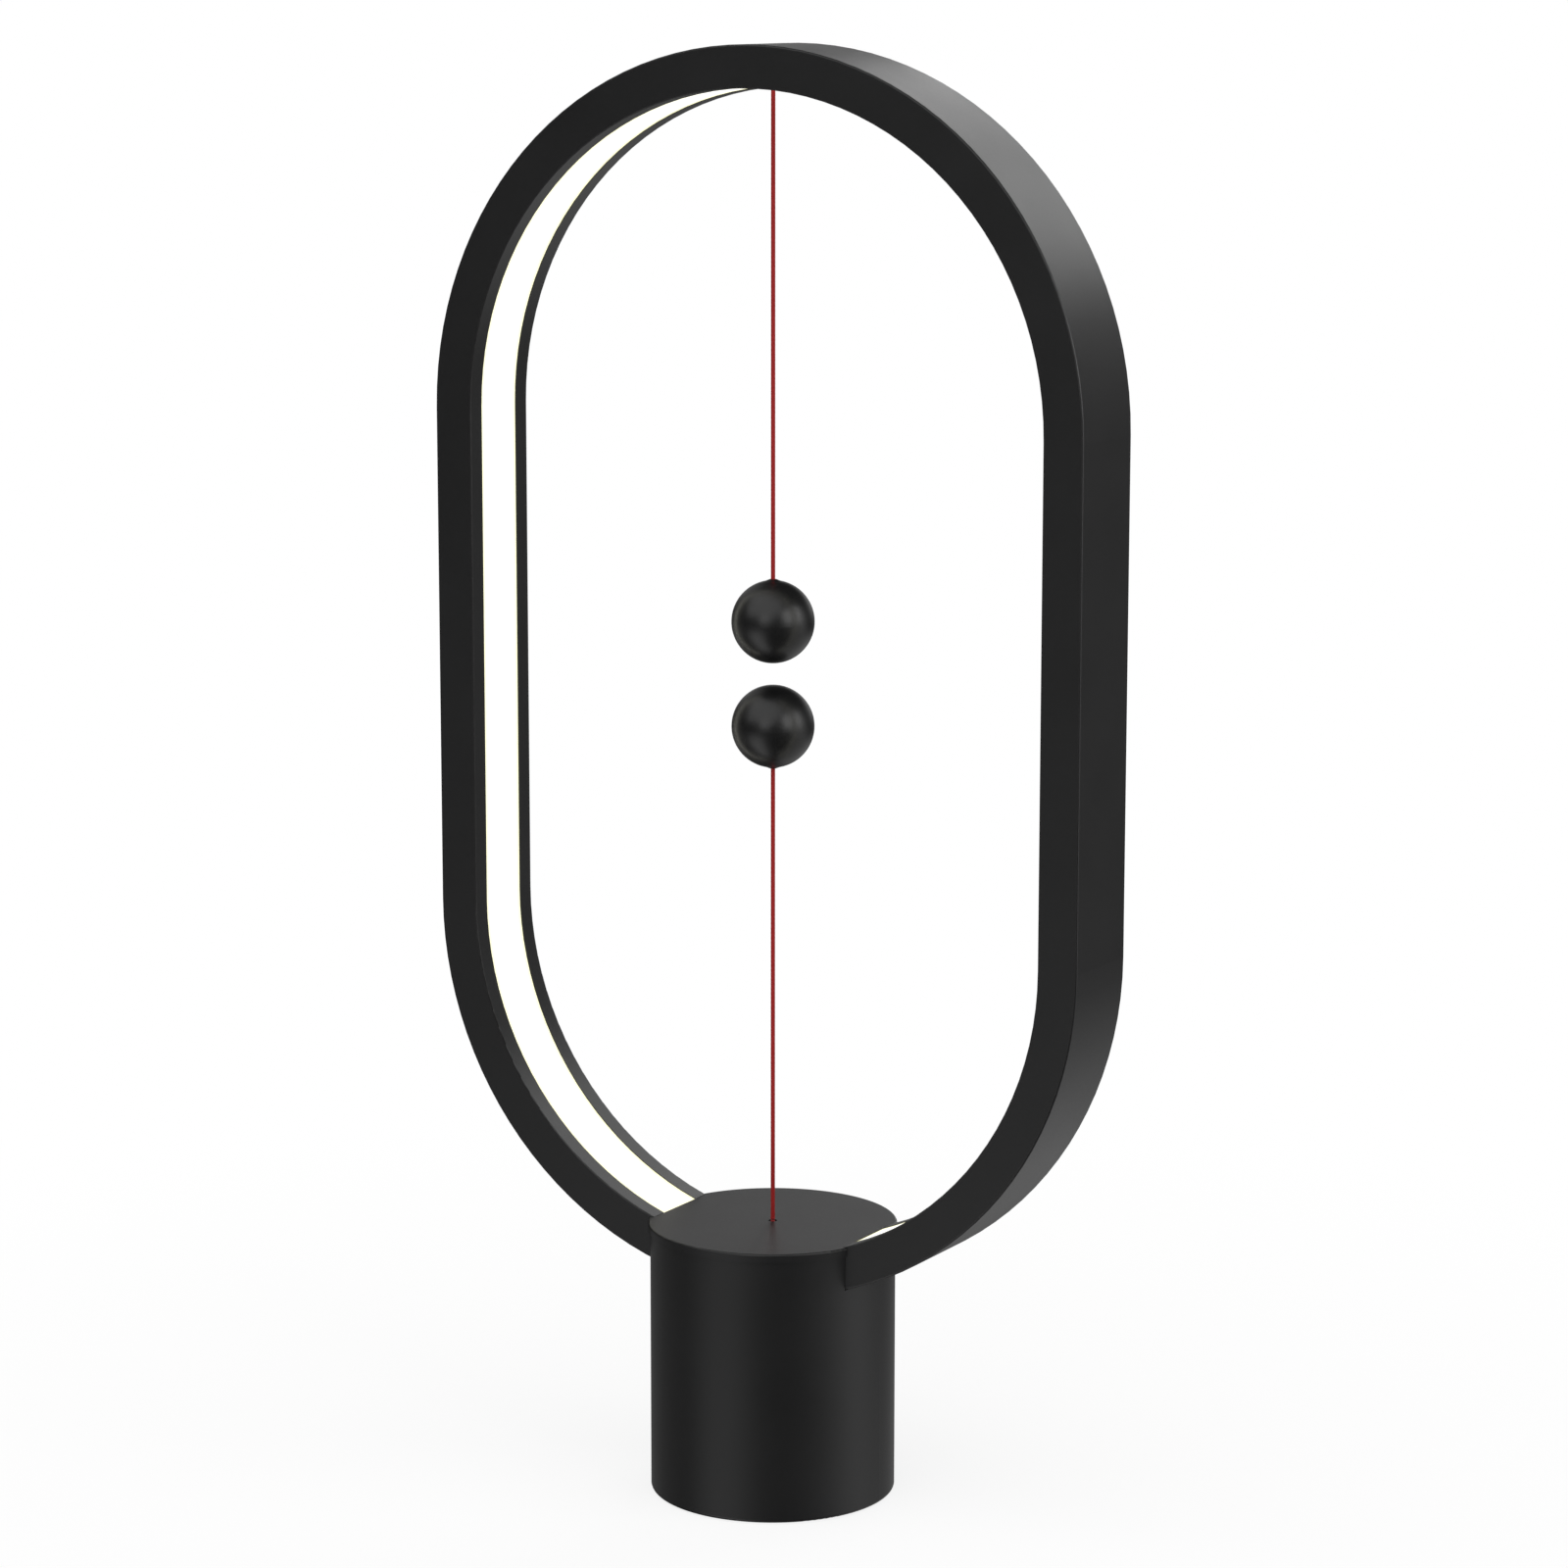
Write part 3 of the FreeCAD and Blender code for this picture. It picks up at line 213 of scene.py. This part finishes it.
def along_route(name, points):
    """The NURBS line through a cord's control points, read back as closely spaced points."""
    curve = bpy.data.curves.new(name, "CURVE")
    curve.dimensions = "3D"
    spline = curve.splines.new("NURBS")
    spline.points.add(len(points) - 1)
    for target, point in zip(spline.points, points):
        target.co = (*point, 1.0)
    spline.order_u = 3
    spline.use_endpoint_u = True
    spline.resolution_u = 12
    helper = bpy.data.objects.new(name, curve)
    bpy.context.scene.collection.objects.link(helper)
    bpy.context.view_layer.update()
    line = bpy.data.meshes.new_from_object(helper)
    read = [vertex.co.copy() for vertex in line.vertices]
    bpy.data.objects.remove(helper)
    bpy.data.curves.remove(curve)
    bpy.data.meshes.remove(line)
    return read


def thread_height(turn, height):
    """Relief of the braid, 0 in the crevices to 1 on the threads, at an angle and a height."""
    across = CORD_STRANDS * turn / (2 * math.pi)
    climb = CORD_STRANDS * height / CORD_LAY
    first = across + climb
    second = across - climb
    over = (math.floor(first) + math.floor(second)) % 2 == 0
    spot = (first if over else second) % 1.0
    along = (second if over else first) % 1.0
    rise = 1 - THREAD_DIP + THREAD_DIP * math.sin(math.pi * along)
    return math.sin(math.pi * spot) ** 0.5 * rise


def braid_cord(name, points):
    """A round braided cord along its route, with rounded ends."""
    read = along_route(name + "_line", points)
    lengths = [0.0]
    for before, after in zip(read, read[1:]):
        lengths.append(lengths[-1] + (after - before).length)
    total = lengths[-1]
    count = round(total / CORD_STEP)
    radius = CORD_DIAMETER / 2
    mesh = bmesh.new()
    rings = []
    segment = 0
    for index in range(count + 1):
        distance = total * index / count
        while segment < len(read) - 2 and lengths[segment + 1] < distance:
            segment += 1
        share = (distance - lengths[segment]) / (lengths[segment + 1] - lengths[segment])
        centre = read[segment].lerp(read[segment + 1], share)
        from_end = min(distance, total - distance)
        inward = min(1.0, (from_end + CORD_TIP) / radius)
        taper = math.sqrt(max(0.0, 1 - (1 - inward) ** 2))
        ring = []
        for side in range(CORD_SIDES):
            turn = 2 * math.pi * side / CORD_SIDES
            reach = radius - THREAD_RELIEF * (1 - thread_height(turn, distance))
            offset = Vector((math.cos(turn), math.sin(turn), 0.0)) * reach * taper
            ring.append(mesh.verts.new(centre + offset))
        rings.append(ring)
    for low, high in zip(rings, rings[1:]):
        for side in range(CORD_SIDES):
            after = (side + 1) % CORD_SIDES
            mesh.faces.new((low[side], low[after], high[after], high[side]))
    mesh.faces.new(rings[0][::-1])
    mesh.faces.new(rings[-1])
    bmesh.ops.recalc_face_normals(mesh, faces=mesh.faces)
    for face in mesh.faces:
        face.smooth = True
    data = bpy.data.meshes.new(name)
    mesh.to_mesh(data)
    mesh.free()
    piece = bpy.data.objects.new(name, data)
    bpy.context.scene.collection.objects.link(piece)
    data.materials.append(cord_finish.holder)
    return piece, read


cord_finish = Finish("braided_red_cord", Sheen_Weight=0.25, Sheen_Roughness=0.4)
cord_finish.set(**{"Specular IOR Level": 0.22, "Sheen Tint": (0.9, 0.3, 0.3)})
x, y, z = cord_finish.axes()
turn = cord_finish.node("ShaderNodeMath", {"operation": "ARCTAN2"}, {0: y, 1: x})
across = turn * (CORD_STRANDS / (2 * math.pi))
climb = z * (CORD_STRANDS / CORD_LAY)
weave = abs(((across + climb) * math.pi).sine() * ((across - climb) * math.pi).sine())
fibre = cord_finish.noise(0.12 * MM, detail=3.0)
tone = cord_finish.noise(9 * MM)
# The threads are red, and the crevices between them are painted darker as shade.
red_with_crevice_shade = cord_finish.blend(weave ** 0.5, CORD_DARK_AND_CREVICE_SHADE, CORD_RED)
cord_finish.set(**{"Base Color": cord_finish.blend(fibre * 0.5 * tone, red_with_crevice_shade, CORD_DARK_AND_CREVICE_SHADE)})
cord_finish.set(Roughness=0.55 + 0.35 * fibre)
cord_finish.bump(fibre * 0.4 + weave, 0.03 * MM, 0.6)

upper_points = [(0, 0, UPPER_PIVOT), (0, 0, UPPER_MIDDLE), (0, 0, UPPER_KNOT_SEAT)]
lower_points = [(0, 0, LOWER_PIVOT), (0, 0, LOWER_MIDDLE), (0, 0, LOWER_KNOT_SEAT)]
upper_cord, upper_line = braid_cord("upper_cord_braid", upper_points)
lower_cord, lower_line = braid_cord("lower_cord_braid", lower_points)
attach(upper_cord, "upper_ball")
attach(lower_cord, "lower_ball")
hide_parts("upper_cord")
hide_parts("lower_cord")
for side in ("upper", "lower"):
    for part in ("cord_bend", "cord_tail", "anchor_knot", "ball_knot"):
        dress(cord_finish, side + "_" + part)


# ---------------------------------------------------------------- light ring
# The ring is a moulded black housing with a flat front and outer wall, closed by a rear cover.
# Both are ABS with a very fine spark-eroded grain that leaves the surface satin.
MOULDED_BLACK = (0.0036, 0.0036, 0.0038)
MOULDED_GRAIN = 0.25 * MM
MOULDED_RELIEF = 0.012 * MM
CLOUD_SIZE = 24 * MM  # patches of slightly different tone and gloss


def satin_black(name, tone, roughness, grain, relief):
    """Black moulded plastic: slight clouding of the gloss and a fine grain."""
    finish = Finish(name)
    finish.set(**{"Specular IOR Level": 0.5})
    cloud = finish.noise(CLOUD_SIZE, detail=3.0)
    speck = finish.noise(grain * 3, detail=2.0)
    bright = tuple(channel * 1.5 for channel in tone)
    dark = tuple(channel * 0.7 for channel in tone)
    finish.set(**{"Base Color": finish.blend(cloud * 0.6 + speck * 0.4, dark, bright)})
    finish.set(Roughness=roughness - 0.05 + 0.06 * cloud + 0.04 * speck)
    finish.bump(finish.cells(grain), relief, 0.35)
    return finish


ring_finish = satin_black("ring_satin_black", MOULDED_BLACK, 0.40, MOULDED_GRAIN, MOULDED_RELIEF)
dress(ring_finish, "frame_housing", "frame_rear_cover")

# ---------------------------------------------------------------- light strip
# A milky extruded strip snaps in behind the ring's rims and glows evenly, a little warmer and
# dimmer along its two edges, where less of the light gets through.
STRIP_HALF = 8.4 * MM
STRIP_END = 30.17 * MM  # where the disc of the base covers it
STRIP_MIDDLE = 0.229
STRIP_MILK = (0.57, 0.56, 0.52)
STRIP_MILK_DEEP = (0.52, 0.51, 0.47)
STRIP_GLOW = (1.0, 0.985, 0.93)
STRIP_EDGE_GLOW = (0.68, 0.66, 0.32)
STRIP_EDGE = 4.0 * MM  # how far in from an edge the glow begins to fade
STRIP_END_EDGE = 2.4 * MM
STRIP_END_FADE = 10 * MM  # height over which the fading at the two lower ends sets in
STRIP_POWER = 1.0

strip_finish = Finish("milky_light_strip", Roughness=0.5)
strip_finish.set(**{"Specular IOR Level": 0.4})
x, y, z = strip_finish.axes()
edge = abs(y).above(STRIP_HALF - STRIP_EDGE, STRIP_EDGE)
near_end = (STRIP_END + STRIP_END_EDGE - abs(x)).above(0.0, STRIP_END_EDGE)
low_down = (STRIP_MIDDLE - z).above(0.0, STRIP_END_FADE)
haze = strip_finish.noise(3 * MM, detail=2.0)
strip_finish.set(**{"Base Color": strip_finish.blend(haze, STRIP_MILK_DEEP, STRIP_MILK)})
warm = strip_finish.maths("MAXIMUM", edge, near_end * low_down)
strip_finish.set(**{"Emission Color": strip_finish.blend(warm, STRIP_GLOW, STRIP_EDGE_GLOW)})
strip_finish.set(**{"Emission Strength": STRIP_POWER})
strip_finish.bump(haze, 0.01 * MM, 0.3)
dress(strip_finish, "diffuser")

# ---------------------------------------------------------------- behind the light strip
# A white flexible circuit runs round the inside of the outer wall with warm white chips on it.
# At the top a slippery white block holds the upper cord's knot.
tape_finish = Finish("white_flexible_circuit", Roughness=0.45)
copper = tape_finish.noise(1.6 * MM, stretch=(1.0, 3.0, 1.0))
tape_tone = tape_finish.blend(copper.above(0.55, 0.05), (0.78, 0.78, 0.75), (0.70, 0.66, 0.55))
tape_finish.set(**{"Base Color": tape_tone})
dress(tape_finish, "led_strip")

chip_finish = Finish("warm_white_chip", Roughness=0.3)
phosphor = chip_finish.noise(0.4 * MM)
chip_tone = chip_finish.blend(phosphor, (0.86, 0.66, 0.16), (0.92, 0.78, 0.30))
chip_finish.set(**{"Base Color": chip_tone})
dress(chip_finish, "led_chips")


def slippery_white(name, tone, roughness):
    """Natural acetal: a clean, waxy moulded white."""
    finish = Finish(name)
    milk = finish.noise(4 * MM, detail=3.0)
    dull = tuple(channel * 0.93 for channel in tone)
    finish.set(**{"Base Color": finish.blend(milk, dull, tone)})
    finish.set(Roughness=roughness + 0.12 * milk)
    finish.bump(finish.cells(0.3 * MM), 0.01 * MM, 0.3)
    return finish


acetal_finish = slippery_white("natural_acetal", (0.80, 0.79, 0.75), 0.32)
dress(acetal_finish, "cord_anchor", "frame_saddle", "cord_guide", "pull_plunger")

# ---------------------------------------------------------------- magnetic balls
# Each ball is two glued black half shells, smoother than the ring, with a nickel-plated disc
# magnet in the half that faces the other ball.
BALL_BLACK = (0.0034, 0.0034, 0.0036)
BALL_HALVES = ["upper_ball_cord_half", "upper_ball_magnet_half"]
BALL_HALVES += ["lower_ball_cord_half", "lower_ball_magnet_half"]

ball_finish = satin_black("ball_satin_black", BALL_BLACK, 0.36, 0.18 * MM, 0.0015 * MM)
dress(ball_finish, *BALL_HALVES)


def metal(name, bright, dull, roughness, grain):
    """Bare or plated metal with a tone and gloss that wander slightly."""
    finish = Finish(name, Metallic=1.0)
    patina = finish.noise(3 * MM, detail=4.0)
    drawn = finish.noise(grain, detail=3.0, stretch=(1.0, 1.0, 0.12))
    finish.set(**{"Base Color": finish.blend(patina, dull, bright)})
    finish.set(Roughness=roughness + 0.16 * drawn)
    finish.bump(drawn, 0.01 * MM, 0.4)
    return finish


nickel_finish = metal("nickel_plate", (0.72, 0.69, 0.64), (0.60, 0.57, 0.52), 0.12, 0.4 * MM)
dress(nickel_finish, "upper_magnet", "lower_magnet")

# ---------------------------------------------------------------- base
# The round housing is slotted for the ring. A flat disc snaps into its top and a plate is screwed
# to its underside. All three are moulded in the same black as the ring.
base_finish = satin_black("base_satin_black", MOULDED_BLACK, 0.42, MOULDED_GRAIN, MOULDED_RELIEF)
dress(base_finish, "base_housing", "top_cap", "bottom_plate")

# ---------------------------------------------------------------- foot and ballast
# A round foam-rubber pad is stuck under the bottom plate and covers its screws. The ballast inside
# is cast iron and keeps the lamp from tipping.
rubber_finish = Finish("foam_rubber")
pores = rubber_finish.cells(0.5 * MM)
# The pores are painted darker in their middles than at their rims, as shade in the hollows.
rubber_tone_with_pore_shade = rubber_finish.blend(pores, (0.012, 0.012, 0.012), (0.030, 0.030, 0.029))
rubber_finish.set(**{"Base Color": rubber_tone_with_pore_shade})
rubber_finish.set(Roughness=0.75 + 0.2 * pores)
rubber_finish.bump(pores, 0.08 * MM, 0.7)
dress(rubber_finish, "foot_pad")

iron_finish = Finish("cast_iron", Metallic=0.85)
scale = iron_finish.noise(1.2 * MM, detail=5.0)
iron_tone = iron_finish.blend(scale, (0.07, 0.065, 0.06), (0.17, 0.165, 0.16))
iron_finish.set(**{"Base Color": iron_tone})
iron_finish.set(Roughness=0.5 + 0.3 * scale)
iron_finish.bump(scale, 0.12 * MM, 0.6)
dress(iron_finish, "ballast_weight")

# ---------------------------------------------------------------- screws, bracket and spring
# Zinc-plated steel: pan-head screws, the folded switch bracket and its lever, the power inlet's
# shell and the plunger's coiled return spring.
zinc_finish = metal("zinc_plate", (0.60, 0.60, 0.58), (0.46, 0.46, 0.44), 0.25, 0.5 * MM)
dress(zinc_finish, "frame_screws", "bottom_screws", "board_screws")
dress(zinc_finish, "switch_screws", "bracket_screw")
dress(zinc_finish, "switch_bracket", "switch_lever", "return_spring", "usb_socket")

# ---------------------------------------------------------------- switch and electronics
# A black snap switch hangs under the shelf; a round green board carries the driver, its coil and
# capacitors, and thin grey wires join the two and the light strip.
switch_finish = satin_black("switch_black", (0.016, 0.016, 0.017), 0.45, 0.3 * MM, 0.01 * MM)
dress(switch_finish, "switch_body")
component_finish = satin_black("component_black", (0.010, 0.010, 0.011), 0.35, 0.2 * MM, 0.01 * MM)
dress(component_finish, "board_parts", "switch_button")

board_finish = Finish("green_solder_mask", Roughness=0.28)
tracks = board_finish.noise(2.2 * MM, detail=0.0, stretch=(1.0, 0.25, 1.0)).above(0.52, 0.03)
mask_tone = board_finish.blend(tracks, (0.010, 0.085, 0.030), (0.020, 0.150, 0.055))
board_finish.set(**{"Base Color": mask_tone})
board_finish.bump(tracks, 0.03 * MM, 0.5)
dress(board_finish, "control_board")

lead_finish = Finish("grey_wire_insulation")
rub = lead_finish.noise(0.8 * MM)
lead_finish.set(**{"Base Color": lead_finish.blend(rub, (0.26, 0.26, 0.27), (0.36, 0.36, 0.37))})
lead_finish.set(Roughness=0.45 + 0.2 * rub)
dress(lead_finish, "led_leads", "switch_leads")


# ---------------------------------------------------------------- table and studio
# A white table in front of white, four softboxes and a weak fill, and a dark tent all round that
# only gloss sees: it keeps black plastic black, and is pale below where the table lights up.
AIM = Vector((0.0, 0.0, 0.20))
VIEW_TURN = math.atan2(CAMERA_PLACE[1], CAMERA_PLACE[0])
LAMP_DISTANCE = 4.0


def soft_lamp(name, turn, rise, half_width, half_height, radiance):
    """A softbox aimed at the lamp: its turn right of the lens, its rise and its size in degrees."""
    light = bpy.data.lights.new(name, "AREA")
    light.shape = "RECTANGLE"
    light.size = 2 * LAMP_DISTANCE * math.tan(math.radians(half_width))
    light.size_y = 2 * LAMP_DISTANCE * math.tan(math.radians(half_height))
    light.energy = radiance * light.size * light.size_y * math.pi
    lamp = bpy.data.objects.new(name, light)
    angle = VIEW_TURN + math.radians(turn)
    level = math.radians(rise)
    flat = math.cos(level)
    way = Vector((math.cos(angle) * flat, math.sin(angle) * flat, math.sin(level)))
    lamp.location = AIM + way * LAMP_DISTANCE
    lamp.rotation_euler = (-way).to_track_quat("-Z", "Y").to_euler()
    lamp.visible_camera = False
    bpy.context.scene.collection.objects.link(lamp)
    return lamp


soft_lamp("front_left_softbox", -38, 50, 43, 33, 1.22)
soft_lamp("right_softbox", 58, 19, 27, 18, 3.18)
rear_softbox = soft_lamp("rear_right_softbox", 147.5, 25.5, 22, 9.4, 2.65)
soft_lamp("low_front_softbox", -24, 10.8, 12, 9, 2.0)
soft_lamp("rear_left_fill", -140, 32, 20, 16, 0.35)

# The rear softbox is kept off the two balls, as a small black flag beside them would do.
flagged = bpy.data.collections.new("behind_the_flag")
for name in BALL_HALVES:
    flagged.objects.link(nodes[name])
for entry in flagged.collection_objects:
    entry.light_linking.link_state = "EXCLUDE"
rear_softbox.light_linking.receiver_collection = flagged

# White air all round lights the lamp weakly and is fully white to the camera. The tent stands
# between it and gloss.
AMBIENT = 0.3
surroundings = bpy.data.worlds.new("white_surroundings")
bpy.context.scene.world = surroundings
air = Shade(surroundings)
looked_at = air.node("ShaderNodeLightPath", output="Is Camera Ray")
for kind in ("Is Glossy Ray", "Is Transmission Ray"):
    looked_at = air.maths("MAXIMUM", looked_at, air.node("ShaderNodeLightPath", output=kind))
air.fill(
    air.tree.nodes["Background"],
    {"Color": (1.0, 1.0, 1.0), "Strength": AMBIENT + (1.0 - AMBIENT) * looked_at},
)


def stage_piece(name, mesh, shader, shade):
    """Adds a mesh to the studio, finished with the shader that its shade ends in."""
    data = bpy.data.meshes.new(name)
    mesh.to_mesh(data)
    mesh.free()
    piece = bpy.data.objects.new(name, data)
    bpy.context.scene.collection.objects.link(piece)
    shade.fill(shade.tree.nodes["Material Output"], {"Surface": shader})
    data.materials.append(shade.holder)
    return piece


TABLE_HALF = 6.0
TABLE_WHITE = (0.92, 0.92, 0.92)
SHADOW_START = 0.05
SHADOW_REACH = 0.42  # over this the table fades into the white behind it
SHADOW_SHARE = 0.2  # how much of the lit table, and so of the shadow, the camera sees
table = Finish("white_table", Roughness=0.9)
table.set(**{"Base Color": TABLE_WHITE, "Specular IOR Level": 0.0})
length = {"operation": "LENGTH"}
from_lamp = table.node("ShaderNodeVectorMath", length, {0: table.place()}, output=1)
fading = from_lamp.above(SHADOW_START, SHADOW_REACH)
camera_ray = table.node("ShaderNodeLightPath", output="Is Camera Ray")
white = table.node("ShaderNodeEmission", inputs={"Color": (1.0, 1.0, 1.0), "Strength": 1.0})
lit = Sock(table, table.shader.outputs[0])
share = camera_ray * (1 - SHADOW_SHARE + SHADOW_SHARE * fading)
mixed = table.node("ShaderNodeMixShader", inputs={0: share, 1: lit, 2: white})
mesh = bmesh.new()
bmesh.ops.create_grid(mesh, x_segments=1, y_segments=1, size=TABLE_HALF)
table_top = stage_piece("table_top", mesh, mixed, table)
table_top.visible_glossy = False

TENT_RADIUS = 8.0
TENT_TONE = 0.04
BLUR_ACROSS = 15  # degrees each side of a patch's border over which it fades
BLUR_UP = 10
tent = Shade(bpy.data.materials.new("dark_tent"))
tent.holder.cycles.emission_sampling = "NONE"
tent_x, tent_y, tent_z = tent.axes()
tent_flat = (tent_x * tent_x + tent_y * tent_y) ** 0.5
rise = tent.maths("ARCTAN2", tent_z, tent_flat) * math.degrees(1)


def pale_patch(turn, middle, half_width, half_height, tone):
    """A pale patch of the tent with soft borders, at a turn and a rise in degrees."""
    angle = VIEW_TURN + math.radians(turn)
    ahead = tent_x * math.cos(angle) + tent_y * math.sin(angle)
    aside = tent_y * math.cos(angle) - tent_x * math.sin(angle)
    off = abs(tent.maths("ARCTAN2", aside, ahead)) * math.degrees(1)
    across = 1 - off.above(half_width - BLUR_ACROSS, 2 * BLUR_ACROSS)
    upward = 1 - abs(rise - middle).above(half_height - BLUR_UP, 2 * BLUR_UP)
    return tone * across * upward


# The three low patches stand in for the lit table, and the two near the horizon for softboxes. All
# are pale light that only gloss sees and that lights nothing else.
patches = pale_patch(-52, -50, 23, 32, 1.27) + pale_patch(118, -54, 45, 35, 0.55)
patches += pale_patch(208, -20, 60, 10, 0.21) + pale_patch(166, 8.5, 32, 7.5, 0.95)
patches += pale_patch(80, 4, 20, 22.5, 0.84)
glow = tent.node("ShaderNodeEmission", inputs={"Color": TENT_TONE + patches, "Strength": 1.0})
mesh = bmesh.new()
bmesh.ops.create_uvsphere(mesh, u_segments=48, v_segments=24, radius=TENT_RADIUS)
surround = stage_piece("dark_tent", mesh, glow, tent)
for use in ("camera", "diffuse", "transmission", "shadow", "volume_scatter"):
    setattr(surround, "visible_" + use, False)

bpy.context.scene.view_settings.view_transform = "Standard"
